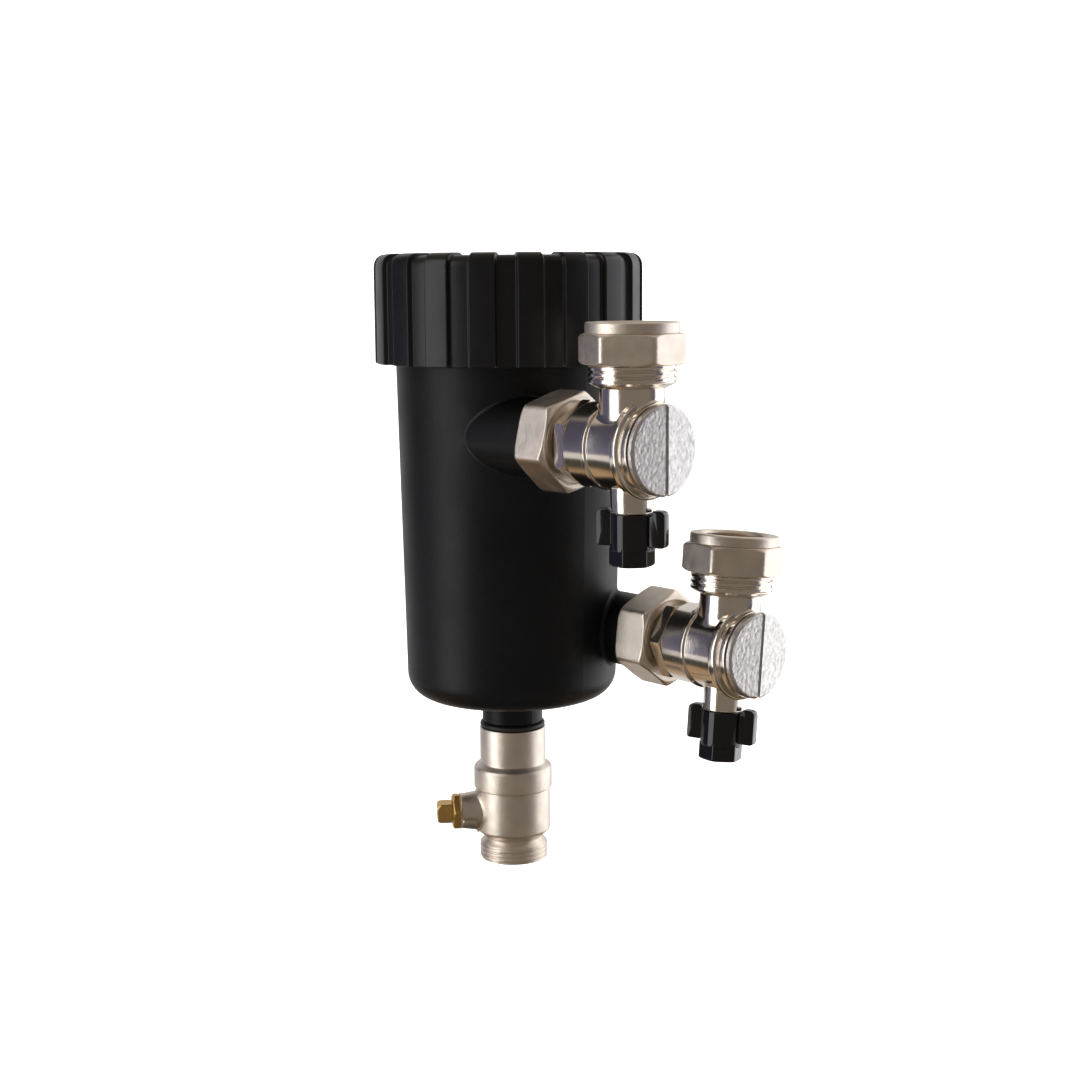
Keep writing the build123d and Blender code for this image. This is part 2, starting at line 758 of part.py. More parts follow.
def make_drain_spindle():
    shaft = turned(
        (0, 10.4),
        (4.8, 10.4),
        (4.8, 12.2),
        (SPINDLE_R, 12.2),
        (SPINDLE_R, GLAND_END + 0.8),
        (0, GLAND_END + 0.8),
    )
    square_length = SPINDLE_END - GLAND_END - 0.3
    square = Pos(0, 0, SPINDLE_END - square_length / 2) * Box(SPINDLE_SQUARE, SPINDLE_SQUARE, square_length)
    square = square & turned(
        (0, 20),
        (5.0, 20),
        (5.0, SPINDLE_END - 1.1),
        (4.2, SPINDLE_END),
        (0, SPINDLE_END),
    )
    tongue = Pos(0, 0, 9.2) * Box(2.8, 8.2, 2.6)
    slot = Pos(0, 0, SPINDLE_END) * Box(1.0, SPINDLE_SQUARE + 2, 1.6)
    return at_spindle(shaft + square + tongue - slot)


def make_drain_spindle_seal():
    return at_spindle(o_ring(4.24, 0.68, 15.72))


def make_drain_gland_nut():
    nut = hexagon(GLAND_FLATS, DRAIN_BOSS_END, GLAND_END, 10, 0.3, 0.9)
    nut += rod(GLAND_R, GLAND_START, DRAIN_BOSS_END)
    return at_spindle(nut - rod(SPINDLE_R + RUN, GLAND_START - 1, GLAND_END + 1))


def make_drain_socket_seal():
    wire = (COLLAR_SHOULDER - DRAIN_SOCKET_TOP) / 2
    return o_ring(COLLAR_THREAD_R + wire, wire, DRAIN_SOCKET_TOP + wire)


# ---------------------------------------------------------------- write every piece


def all_pieces():
    pieces = {
        "canister": make_canister(),
        "cap": make_cap(),
        "pocket_head": make_pocket_head(),
        "head_seal": make_head_seal(),
        "retaining_ring": make_retaining_ring(),
        "bleed_screw": make_bleed_screw(),
        "bleed_seal": make_bleed_seal(),
        "magnet_sleeve": make_magnet_sleeve(),
        "magnets": make_magnets(),
        "pole_pieces": make_pole_pieces(),
        "magnet_core": make_magnet_core(),
        "magnet_nut": make_magnet_nut(),
        "magnet_grip": make_magnet_grip(),
        "drain_body": make_drain_body(),
        "drain_ball": make_drain_ball(),
        "drain_seats": make_drain_seats(),
        "drain_seat_retainer": make_drain_seat_retainer(),
        "drain_spindle": make_drain_spindle(),
        "drain_spindle_seal": make_drain_spindle_seal(),
        "drain_gland_nut": make_drain_gland_nut(),
        "drain_socket_seal": make_drain_socket_seal(),
    }
    for side in PORT_Z:
        for name, solid in valve_pieces(side).items():
            pieces[side + "_" + name] = place_valve(side, solid)
    return pieces


os.makedirs("parts", exist_ok=True)
for name, solid in all_pieces().items():
    export_step(solid, os.path.join("parts", name + ".step"))
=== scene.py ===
import json
import math

import bmesh
import bpy
from mathutils import Matrix, Vector, noise


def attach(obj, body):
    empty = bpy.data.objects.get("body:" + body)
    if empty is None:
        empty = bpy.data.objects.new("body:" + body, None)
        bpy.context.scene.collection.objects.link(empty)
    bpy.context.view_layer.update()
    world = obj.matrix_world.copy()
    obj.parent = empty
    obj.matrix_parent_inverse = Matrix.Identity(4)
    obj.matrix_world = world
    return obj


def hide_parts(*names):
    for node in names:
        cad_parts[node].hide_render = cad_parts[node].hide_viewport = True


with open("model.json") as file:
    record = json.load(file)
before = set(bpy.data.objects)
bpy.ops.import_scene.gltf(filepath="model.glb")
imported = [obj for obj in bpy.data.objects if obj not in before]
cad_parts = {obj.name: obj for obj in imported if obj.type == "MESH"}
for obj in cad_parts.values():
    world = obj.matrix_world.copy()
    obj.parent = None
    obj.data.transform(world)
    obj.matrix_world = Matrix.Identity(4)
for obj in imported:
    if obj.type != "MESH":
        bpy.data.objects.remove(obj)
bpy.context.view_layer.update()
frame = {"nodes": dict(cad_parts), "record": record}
nodes = frame["nodes"]

# ---------------------------------------------------------------- where things are, in millimetres

VALVE_X = 90.6
PORT_Y = {"upper": -24.06, "lower": 24.06}
PORT_Z = {"upper": 169.9, "lower": 93.7}
VALVE_LEAN = {"upper": 0.0, "lower": 4.85}
UNION_TURN = {"upper": 16.0, "lower": 27.9}
NUT_TURN = {"upper": 9.5, "lower": 18.2}
SPINDLE_Z = 19.0
SPINDLE_ANGLE = -124.0
RIB_COUNT = 18
RIB_PHASE = 8.3
ALONG_X = Matrix.Rotation(math.radians(90), 4, "Y")


# ---------------------------------------------------------------- camera

CAMERA_AZIMUTH = 49.19
CAMERA_DISTANCE = 0.66675
CAMERA_HEIGHT = 0.2271
CAMERA_YAW = 0.97
CAMERA_PITCH = 8.61
CAMERA_ROLL = -0.41
CAMERA_LENS = 58.19


def add_camera():
    azimuth = math.radians(CAMERA_AZIMUTH)
    yaw = math.radians(CAMERA_YAW)
    pitch = math.radians(CAMERA_PITCH)
    roll = math.radians(CAMERA_ROLL)
    back = Vector((math.sin(azimuth), -math.cos(azimuth), 0))
    right = Vector((math.cos(azimuth), math.sin(azimuth), 0))
    ahead = right * math.sin(yaw) - back * math.cos(yaw)
    side = right * math.cos(yaw) + back * math.sin(yaw)
    forward = ahead * math.cos(pitch) - Vector((0, 0, math.sin(pitch)))
    up = side.cross(forward)
    camera_right = side * math.cos(roll) + up * math.sin(roll)
    camera_up = up * math.cos(roll) - side * math.sin(roll)
    data = bpy.data.cameras.new("camera")
    data.lens = CAMERA_LENS
    data.sensor_width = 36
    data.clip_start = 0.01
    camera = bpy.data.objects.new("camera", data)
    bpy.context.scene.collection.objects.link(camera)
    turn = Matrix((camera_right, camera_up, -forward)).transposed().to_4x4()
    place = Matrix.Translation(back * CAMERA_DISTANCE + Vector((0, 0, CAMERA_HEIGHT)))
    camera.matrix_world = place @ turn
    bpy.context.scene.camera = camera


# ---------------------------------------------------------------- materials


class Shader:
    """A material's node tree, with short names for the nodes that these materials share."""

    def __init__(self, name, color, roughness, metallic=0.0):
        self.material = bpy.data.materials.new(name)
        self.material.use_nodes = True
        self.tree = self.material.node_tree
        self.base = self.tree.nodes["Principled BSDF"]
        self.base.inputs["Base Color"].default_value = (*color, 1)
        self.base.inputs["Roughness"].default_value = roughness
        self.base.inputs["Metallic"].default_value = metallic
        self.place = self.tree.nodes.new("ShaderNodeTexCoord").outputs["Object"]

    def node(self, kind, **inputs):
        new = self.tree.nodes.new(kind)
        for key, value in inputs.items():
            new.inputs[key.replace("_", " ")].default_value = value
        return new

    def link(self, source, target):
        self.tree.links.new(source, target)

    def noise(self, scale, detail=3.0, stretch=(1, 1, 1)):
        mapping = self.node("ShaderNodeMapping")
        mapping.inputs["Scale"].default_value = stretch
        self.link(self.place, mapping.inputs["Vector"])
        noise = self.node("ShaderNodeTexNoise", Scale=scale, Detail=detail)
        self.link(mapping.outputs["Vector"], noise.inputs["Vector"])
        return noise.outputs["Fac"]

    def remap(self, value, low, high, to_low, to_high):
        remap = self.node("ShaderNodeMapRange")
        for index, number in enumerate((low, high, to_low, to_high), start=1):
            remap.inputs[index].default_value = number
        self.link(value, remap.inputs[0])
        return remap.outputs[0]

    def roughen(self, value, low, high):
        self.link(self.remap(value, 0.3, 0.7, low, high), self.base.inputs["Roughness"])

    def tint(self, value, dark, light):
        mix = self.tree.nodes.new("ShaderNodeMix")
        mix.data_type = "RGBA"
        mix.inputs[6].default_value = (*dark, 1)
        mix.inputs[7].default_value = (*light, 1)
        self.link(self.remap(value, 0.3, 0.7, 0, 1), mix.inputs[0])
        self.link(mix.outputs[2], self.base.inputs["Base Color"])

    def bump(self, value, depth, strength=1.0):
        bump = self.node("ShaderNodeBump", Strength=strength, Distance=depth)
        self.link(value, bump.inputs["Height"])
        last = self.base.inputs["Normal"]
        if last.is_linked:
            self.link(last.links[0].from_socket, bump.inputs["Normal"])
        self.link(bump.outputs["Normal"], last)


def moulded_plastic(name, color, low, high, grain, depth, shine=0.4):
    """Moulded plastic with a fine spark-eroded grain and slow drifts of gloss and tone."""
    shader = Shader(name, color, low)
    shader.base.inputs["Specular IOR Level"].default_value = shine
    shader.roughen(shader.noise(60, 4), low, high)
    shader.tint(shader.noise(35, 5), [c * 0.8 for c in color], [c * 1.25 for c in color])
    shader.bump(shader.noise(grain, 2), depth)
    return shader.material


def blasted_nickel(name, color, low, high):
    """Bead-blasted nickel plate: even, fine pits and a warm tone."""
    shader = Shader(name, color, low, 1.0)
    shader.roughen(shader.noise(250, 4), low, high)
    shader.tint(shader.noise(140, 5), [c * 0.9 for c in color], [c * 1.06 for c in color])
    shader.bump(shader.noise(1900, 3), 0.00006)
    return shader.material


def turned_nickel(name, color, low, high):
    """Polished nickel over lathe-turned brass: fine lines around the barrel's axis (X)."""
    shader = Shader(name, color, low, 1.0)
    shader.roughen(shader.noise(900, 3, (6, 0.4, 0.4)), low, high)
    shader.tint(shader.noise(90, 3), [c * 0.94 for c in color], [c * 1.04 for c in color])
    shader.bump(shader.noise(1500, 2, (3, 0.15, 0.15)), 0.000012)
    return shader.material


def cast_nickel(name, color):
    """Rough cast face under thin nickel: lumpy, with bright worn spots."""
    shader = Shader(name, color, 0.4, 1.0)
    shader.roughen(shader.noise(700, 4), 0.28, 0.5)
    shader.tint(shader.noise(600, 6), [c * 0.75 for c in color], color)
    shader.bump(shader.noise(900, 5), 0.00012)
    return shader.material


def plain_metal(name, color, low, high, grain=1800, depth=0.00001):
    """Machined or drawn metal with faint marks."""
    shader = Shader(name, color, low, 1.0)
    shader.roughen(shader.noise(400, 3), low, high)
    shader.tint(shader.noise(200, 4), [c * 0.88 for c in color], [c * 1.05 for c in color])
    shader.bump(shader.noise(grain, 2), depth)
    return shader.material


CANISTER_BLACK = (0.0028, 0.003, 0.0036)
CAP_BLACK = (0.0034, 0.0036, 0.0043)
KNOB_BLACK = (0.002, 0.002, 0.0024)

MATERIALS = {
    "canister_nylon": moulded_plastic("canister_nylon", CANISTER_BLACK, 0.36, 0.44, 2200, 0.00005, 0.2),
    "cap_nylon": moulded_plastic("cap_nylon", CAP_BLACK, 0.26, 0.36, 1500, 0.00003, 0.32),
    "seal_rubber": moulded_plastic("seal_rubber", (0.012, 0.012, 0.012), 0.35, 0.5, 1200, 0.00001),
    "ptfe": moulded_plastic("ptfe", (0.8, 0.8, 0.77), 0.3, 0.45, 900, 0.00001),
    "fibre": moulded_plastic("fibre", (0.1, 0.055, 0.035), 0.6, 0.8, 1500, 0.00003),
    "gloss_black": moulded_plastic("gloss_black", KNOB_BLACK, 0.06, 0.12, 500, 0.000006, 0.5),
    "spring_steel": plain_metal("spring_steel", (0.45, 0.44, 0.42), 0.25, 0.4),
    "stainless": plain_metal("stainless", (0.56, 0.55, 0.53), 0.2, 0.32),
    "magnet_nickel": plain_metal("magnet_nickel", (0.62, 0.6, 0.57), 0.1, 0.2),
    "ball_chrome": plain_metal("ball_chrome", (0.75, 0.75, 0.76), 0.04, 0.1),
    "brass": plain_metal("brass", (0.7, 0.46, 0.16), 0.36, 0.44, 900, 0.000003),
    "copper": plain_metal("copper", (0.72, 0.38, 0.2), 0.22, 0.36),
    "satin_nickel": blasted_nickel("satin_nickel", (0.80, 0.72, 0.63), 0.36, 0.46),
    "bright_nickel": turned_nickel("bright_nickel", (0.84, 0.78, 0.7), 0.1, 0.2),
    "plug_nickel": cast_nickel("plug_nickel", (0.78, 0.77, 0.75)),
}


def paint(piece, slot):
    piece.data.materials.clear()
    piece.data.materials.append(MATERIALS[slot])


def paint_cad_nodes():
    for entry in frame["record"]["subparts"]:
        paint(nodes[entry["node"]], entry["material_slot"])


# ---------------------------------------------------------------- mesh tools


def rounded(corners, steps=5):
    """Closed outline of (radius, height) points; a corner's third number rounds it."""
    outline = []
    count = len(corners)
    for index, corner in enumerate(corners):
        here = Vector(corner[:2])
        amount = corner[2] if len(corner) > 2 else 0
        if not amount:
            outline.append(here)
            continue
        before = Vector(corners[index - 1][:2]) - here
        after = Vector(corners[(index + 1) % count][:2]) - here
        bend = math.pi - before.angle(after)
        cut = min(amount * math.tan(bend / 2), before.length * 0.49, after.length * 0.49)
        start = here + before.normalized() * cut
        end = here + after.normalized() * cut
        for step in range(steps + 1):
            t = step / steps
            outline.append(start * (1 - t) ** 2 + here * 2 * t * (1 - t) + end * t * t)
    return [(point.x, point.y) for point in outline]


def skin(rings, closed=True):
    """Mesh over rings of points that all have the same number of points."""
    size = len(rings[0])
    verts = [point for ring in rings for point in ring]
    faces = []
    for row in range(len(rings) if closed else len(rings) - 1):
        low = row * size
        high = (row + 1) % len(rings) * size
        for index in range(size):
            after = (index + 1) % size
            faces.append((low + index, low + after, high + after, high + index))
    mesh = bpy.data.meshes.new("skin")
    mesh.from_pydata(verts, [], faces)
    work = bmesh.new()
    work.from_mesh(mesh)
    bmesh.ops.remove_doubles(work, verts=work.verts, dist=0.0005)
    bmesh.ops.dissolve_degenerate(work, edges=work.edges, dist=0.0001)
    bmesh.ops.recalc_face_normals(work, faces=work.faces)
    work.to_mesh(mesh)
    work.free()
    return mesh


def even_angles(count):
    return [360 * index / count for index in range(count)]


def level_rings(outline, angles, shape=None):
    """Rings of points about Z, one for each outline point; shape(radius, height, angle) bends them."""
    rings = []
    for radius, height in outline:
        ring = []
        for angle in angles:
            reach = shape(radius, height, angle) if shape else radius
            turn = math.radians(angle)
            ring.append((reach * math.cos(turn), reach * math.sin(turn), height))
        rings.append(ring)
    return rings


def revolve(outline, angles):
    return skin(level_rings(outline, angles))


def soft_min(a, b, reach):
    blend = max(reach - abs(a - b), 0) / reach
    return min(a, b) - blend * blend * reach / 4


def add_piece(name, mesh, place, slot, body, replaced=(), sharp=38):
    """Puts a mesh made in millimetres at its place and hands it to its CAD body."""
    mesh.transform(place)
    mesh.name = name
    mesh.shade_smooth()
    mesh.set_sharp_from_angle(angle=math.radians(sharp))
    piece = bpy.data.objects.new(name, mesh)
    bpy.context.scene.collection.objects.link(piece)
    piece.data.materials.append(MATERIALS[slot])
    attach(piece, body)
    if replaced:
        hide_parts(*replaced)
    return piece


def joined(*meshes):
    work = bmesh.new()
    for mesh in meshes:
        work.from_mesh(mesh)
    result = bpy.data.meshes.new("joined")
    work.to_mesh(result)
    work.free()
    return result


def cut(mesh, cutter):
    """Boolean difference of two meshes."""
    target = bpy.data.objects.new("cut_target", mesh)
    tool = bpy.data.objects.new("cut_tool", cutter)
    for item in (target, tool):
        bpy.context.scene.collection.objects.link(item)
    modifier = target.modifiers.new("cut", "BOOLEAN")
    modifier.object = tool
    modifier.operation = "DIFFERENCE"
    modifier.solver = "EXACT"
    bpy.context.view_layer.update()
    shown = target.evaluated_get(bpy.context.evaluated_depsgraph_get())
    result = bpy.data.meshes.new_from_object(shown)
    for item in (target, tool):
        bpy.data.objects.remove(item)
    return result


def thread_depth(height, angle, pitch, low, high):
    """0 on a crest to 1 in a groove of a right-hand thread that runs out at both ends."""
    turn = (height / pitch - angle / 360) % 1
    groove = min(max(1.25 - abs(turn - 0.5) * 4.2, 0), 1)
    fade = min((height - low) / 0.7, (high - height) / 0.7, 1)
    return groove * groove * (3 - 2 * groove) * max(fade, 0)


# ---------------------------------------------------------------- nuts

NUT_FLATS = 32
NUT_CORNER = 2.2
UNION_START = -40.9
UNION_END = -26.6
NUT_BOTTOM = 27.8
NUT_HEX_TOP = 38.2
NUT_TOP = 41.9
CHAMFER_BLEND = 0.9


def hexagon_radius(angle, flats, turn, corner):
    """Radius of a hexagon with rounded corners, at an angle from its centre."""
    swing = math.radians(abs((angle - turn + 30) % 60 - 30))
    side = flats / 2
    inner = side - corner
    if side * math.tan(swing) < inner * math.tan(math.radians(30)):
        return side / math.cos(swing)
    centre = inner / math.cos(math.radians(30))
    off = math.radians(30) - swing
    return centre * math.cos(off) + math.sqrt(corner**2 - (centre * math.sin(off)) ** 2)


def hexagon_rows(flats, low, high, low_chamfer, high_chamfer, edge=0.4):
    """Heights up a hexagon's sides, each with the radius that its turned chamfers leave."""
    corner = flats / math.sqrt(3) + 0.01
    slope = math.tan(math.radians(30))
    heights = set()
    for step in range(13):
        reach = 3.0 * (step / 12) ** 1.6
        heights.add(round(min(low + reach, (low + high) / 2), 4))
        heights.add(round(max(high - reach, (low + high) / 2), 4))
    rows = []
    for height in sorted(heights):
        radius = corner + 1.5
        if low_chamfer:
            radius = min(radius, corner - low_chamfer + (height - low) / slope)
        if high_chamfer:
            radius = min(radius, corner - high_chamfer + (high - height) / slope)
        near = min(height - low, high - height)
        rim = 0
        if near < edge:
            rim = edge - math.sqrt(edge**2 - (edge - near) ** 2)
        rows.append((height, radius, rim))
    return rows


def hexagon_nut(flats, turn, low, high, chamfers, corner, before, after, count=240):
    """Closed nut: outline points before the hexagon, its sides, and outline points after it."""
    angles = even_angles(count)
    rings = level_rings(before, angles)
    for height, turned_off, rim in hexagon_rows(flats, low, high, *chamfers):
        ring = []
        for angle in angles:
            side = hexagon_radius(angle, flats, turn, corner)
            radius = soft_min(side, turned_off, CHAMFER_BLEND) - rim
            around = math.radians(angle)
            ring.append((radius * math.cos(around), radius * math.sin(around), height))
        rings.append(ring)
    rings += level_rings(after, angles)
    return skin(rings)


def union_nut(side):
    """Outline radii and heights run along the port's axis; the recess faces the valve."""
    before = rounded(
        [
            (11, -30),
            (13.22, -29),
            (13.22, UNION_START + 0.6),
            (13.75, UNION_START, 0.2),
            (15.6, UNION_START),
        ]
    )[1:]
    recess = [
        (15.0, UNION_END),
        (14.3, UNION_END - 0.05),
        (14.0, UNION_END - 0.3),
        (12.2, -27.75),
        (10.6, -28.4),
        (10.4, -28.6),
        (10.4, -28.95),
    ]
    chamfers = (1.6, 2.2)
    return hexagon_nut(
        NUT_FLATS, UNION_TURN[side], UNION_START, UNION_END, chamfers, NUT_CORNER, before, recess
    )


def compression_nut(side):
    before = [(14.85, 36.4), (14.85, 28.4), (15.4, NUT_BOTTOM)]
    collar = rounded(
        [
            (14, NUT_HEX_TOP),
            (15.9, NUT_HEX_TOP, 0.35),
            (15.9, NUT_TOP, 0.7),
            (12.25, NUT_TOP, 0.25),
            (11.45, 41.1, 0.2),
            (11.45, 39.6),
            (13.4, 36.8),
        ]
    )[1:]
    chamfers = (1.9, 1.9)
    return hexagon_nut(
        NUT_FLATS, NUT_TURN[side], NUT_BOTTOM, NUT_HEX_TOP, chamfers, NUT_CORNER, before, collar
    )


# ---------------------------------------------------------------- isolating valves

BARREL_R = 14.6
BARREL_START = -20.1
BARREL_END = 12.6
CAVITY_R = 11.6
TAIL_BORE_R = 12.05
PLUG_BORE_R = 12.8
WATERWAY_R = 8.5
NECK_R = 11.1
MALE_R = 14.8
MALE_START = 22.0
MALE_END = 36.0
MALE_PITCH = 2.1
THREAD_STEP = 0.2
SOCKET_R = 11.05
SOCKET_FLOOR = 22.6
BOSS_R = 7.5
BOSS_END = -21.7
STEM_BORE_R = 4.55
PLUG_R = 15.3
PLUG_FACE = 16.3
PLUG_SLOPE = 0.07
SLOT_HALF = 0.65
SLOT_DEPTH = 1.2
HUB_R = 7.5
HUB_TOP = -22.0
HUB_BOTTOM = -34.9
STUB_TOP = -33.6
KNOB_END = -40.0
KNOB_HEX_FLATS = 13.8
KNOB_TURN = 22
WING_REACH = 12.6
WING_TOP = -20.8
WING_BOTTOM = -33.4
WING_WIDTH = 4.6


def collar_rings(tube_r, barrel_r, fillet, angles, steps=8):
    """Skirt of an upright tube where it meets a barrel that lies along X, from the barrel up."""
    rings = [[] for _ in range(steps + 1)]
    for angle in angles:
        turn = math.radians(angle)
        across = abs(math.sin(turn))
        foot = math.sqrt(barrel_r**2 - (tube_r * across) ** 2)
        fall = math.atan2(tube_r * across**2, foot)
        run = fillet * math.tan((math.pi / 2 - fall) / 2)
        out = tube_r + run * math.cos(fall)
        low = math.sqrt(max(barrel_r**2 - (out * across) ** 2, 0)) - 0.02
        for step in range(steps + 1):
            t = step / steps
            radius = out * (1 - t) ** 2 + tube_r * (2 * t * (1 - t) + t * t)
            height = low * (1 - t) ** 2 + foot * 2 * t * (1 - t) + (foot + run) * t * t
            rings[step].append((radius * math.cos(turn), radius * math.sin(turn), height))
    return rings


def valve_barrel():
    """Barrel with a rib and stepped end, open through its length and into the riser."""
    outline = rounded(
        [
            (TAIL_BORE_R, BARREL_START),
            (13.2, BARREL_START, 0.2),
            (BARREL_R, -18.7, 0.8),
            (BARREL_R, -9.9, 0.35),
            (15.35, -9.35, 0.45),
            (15.35, -7.85, 0.45),
            (BARREL_R, -7.3, 0.35),
            (BARREL_R, 4.9, 1.0),
            (17.0, 6.1, 0.9),
            (17.0, 8.9, 0.9),
            (15.0, 9.4, 0.35),
            (15.0, 10.4, 0.35),
            (15.6, 10.7, 0.25),
            (15.6, BARREL_END, 0.3),
            (PLUG_BORE_R, BARREL_END),
            (PLUG_BORE_R, 9.6),
            (CAVITY_R, 9.6),
            (CAVITY_R, -13.0),
            (TAIL_BORE_R, -13.0),
        ]
    )
    barrel = revolve(outline, even_angles(192))
    barrel.transform(ALONG_X)
    waterway = [(0, 5), (WATERWAY_R, 5), (WATERWAY_R, 20), (0, 20)]
    return cut(barrel, revolve(waterway, even_angles(96)))


def riser_thread(radius, height, angle):
    return radius - 0.6 * thread_depth(height, angle, MALE_PITCH, MALE_START, MALE_END - 0.1)


def valve_riser():
    """Neck, external thread and pipe socket that stand on the barrel."""
    angles = even_angles(180)
    rings = collar_rings(NECK_R, BARREL_R, 4.5, angles, 16)
    flare = [(9, 18.6), (NECK_R, 20.0, 0.9), (13.7, 21.2, 0.4), (MALE_R, MALE_START)]
    rings += level_rings(rounded(flare, 6)[1:], angles)
    count = round((MALE_END - MALE_START) / THREAD_STEP) - 1
    wall = [(MALE_R, MALE_START + 0.1 + THREAD_STEP * index) for index in range(count)]
    rings += level_rings(wall, angles, riser_thread)
    mouth = [
        (14.3, MALE_END),
        (12.9, MALE_END),
        (SOCKET_R, 33.6),
        (SOCKET_R, SOCKET_FLOOR),
        (WATERWAY_R, SOCKET_FLOOR),
        (WATERWAY_R, 9.0),
    ]
    rings += level_rings(mouth, angles)
    return skin(rings)


def valve_boss():
    """Stem boss under the barrel, made upright and turned over."""
    angles = even_angles(96)
    rings = collar_rings(BOSS_R, BARREL_R, 1.6, angles, 6)
    end = -BOSS_END
    lip = [(6, 20), (BOSS_R, end, 0.4), (6.6, end), (STEM_BORE_R, end - 0.4), (STEM_BORE_R, 12.0)]
    rings += level_rings(rounded(lip)[1:], angles)
    boss = skin(rings)
    boss.transform(Matrix.Rotation(math.pi, 4, "X"))
    return boss


def plug_face(y, z):
    """How far out along X the cast face stands at a place on it."""
    lump = noise.fractal(Vector((0, y, z * 0.7)) * 0.9, 0.7, 2.1, 5)
    x = PLUG_FACE - PLUG_SLOPE * abs(y) + 0.09 * lump
    if abs(y) < SLOT_HALF:
        x -= SLOT_DEPTH
    rim = max(math.sqrt(y * y + z * z) - PLUG_R + 1.1, 0) / 1.1
    return x - 0.7 * rim**2.4


def plug_columns():
    """Places across the face, from edge to edge, with a dense set at the slot's two edges."""
    columns = [-PLUG_R * math.cos(math.pi * i / 90) for i in range(91)]
    columns = [y for y in columns if abs(y) > 1.0]
    columns += [-0.95, -0.72, -0.6, -0.3, 0, 0.3, 0.6, 0.72, 0.95]
    columns.sort()
    columns[0] = -PLUG_R * 0.9995
    columns[-1] = PLUG_R * 0.9995
    return columns


def end_plug():
    """Slotted cast disc: its face falls away to both sides of the slot and is rough all over."""
    columns = plug_columns()
    rows = 72
    verts = []
    for y in columns:
        half = math.sqrt(PLUG_R**2 - y**2)
        for row in range(rows + 1):
            z = -half * math.cos(math.pi * row / rows)
            verts.append((plug_face(y, z), y, z))
    faces = []
    for column in range(len(columns) - 1):
        for row in range(rows):
            low = column * (rows + 1) + row
            faces.append((low, low + 1, low + rows + 2, low + rows + 1))
    last = len(columns) - 1
    loop = [column * (rows + 1) for column in range(last + 1)]
    loop += [last * (rows + 1) + row for row in range(1, rows + 1)]
    loop += [column * (rows + 1) + rows for column in range(last - 1, -1, -1)]
    loop += [row for row in range(rows - 1, 0, -1)]
    edge = [verts[index] for index in loop]
    previous = loop
    for depth, reach in ((14.7, 1.0), (13.35, 1.0), (13.3, 0.98), (13.3, 0.2)):
        base = len(verts)
        verts += [(depth, point[1] * reach, point[2] * reach) for point in edge]
        for index in range(len(loop)):
            after = (index + 1) % len(loop)
            faces.append((previous[index], previous[after], base + after, base + index))
        previous = list(range(base, base + len(loop)))
    faces.append(tuple(reversed(previous)))
    mesh = bpy.data.meshes.new("end_plug")
    mesh.from_pydata(verts, [], faces)
    work = bmesh.new()
    work.from_mesh(mesh)
    bmesh.ops.recalc_face_normals(work, faces=work.faces)
    work.to_mesh(mesh)
    work.free()
    return mesh


def knob():
    """Hub with two flat wings and a hexagonal end, in its own frame, every edge rounded."""
    hub_outline = [(3.2, HUB_TOP), (HUB_R, HUB_TOP, 0.5), (HUB_R, HUB_BOTTOM, 0.6), (3.2, HUB_BOTTOM)]
    hub = revolve(rounded(hub_outline, 6), even_angles(120))
    hole = [(2.1, -36.6), (4.0, -36.6), (4.0, KNOB_END + 0.2), (4.2, KNOB_END)]
    stub = hexagon_nut(
        KNOB_HEX_FLATS, 0, KNOB_END, STUB_TOP, (0.7, 0), 0.8, hole, [(3, STUB_TOP)], 144
    )
    return joined(hub, stub, wing(-1), wing(1))


def wing(end):
    """One wing: a flat plate standing out from the hub, higher than the hub at its outer end."""
    plan = rounded(
        [
            (5.2, WING_BOTTOM),
            (WING_REACH, WING_BOTTOM, 1.3),
            (WING_REACH, WING_TOP, 3.0),
            (8.0, WING_TOP, 0.7),
            (8.0, -22.4),
            (5.2, -22.4),
        ],
        8,
    )
    work = bmesh.new()
    outline = [work.verts.new((end * x, -WING_WIDTH / 2, z)) for x, z in plan]
    plate = work.faces.new(outline)
    pulled = bmesh.ops.extrude_face_region(work, geom=[plate])
    moved = [part for part in pulled["geom"] if isinstance(part, bmesh.types.BMVert)]
    bmesh.ops.translate(work, vec=(0, WING_WIDTH, 0), verts=moved)
    bmesh.ops.recalc_face_normals(work, faces=work.faces)
    rims = [edge for edge in work.edges if abs(edge.verts[0].co.y - edge.verts[1].co.y) < 1]
    bmesh.ops.bevel(
        work, geom=rims, offset=0.5, segments=4, profile=0.5, affect="EDGES", clamp_overlap=True
    )
    mesh = bpy.data.meshes.new("wing")
    work.to_mesh(mesh)
    work.free()
    return mesh


# ---------------------------------------------------------------- cap


RIB_STEP = 360 / RIB_COUNT
RIB_HALF = 6.15
RIB_FLANK = 1.05
CAP_BOTTOM = 194.9
WALL_R = 48.9
WALL_TOP = 234.6
RIB_R = 50.6
RIB_TOP = 235.5
CAP_BORE_R = 44.85


def cap_angles():
    """Angles round the cap, dense at both flanks of every rib."""
    half = [0, 1.5, 3, 4.2, 4.7, 5.0, 5.2, 5.45, 5.7, 5.95, 6.2, 6.5, 7.0, 8.0, 9.0]
    angles = []
    for index in range(RIB_COUNT):
        middle = RIB_PHASE + index * RIB_STEP
        angles += [middle + swing for swing in half]
        angles += [middle - swing for swing in half[1:]]
        angles.append(middle + RIB_STEP / 2)
    return sorted(angle % 360 for angle in angles)


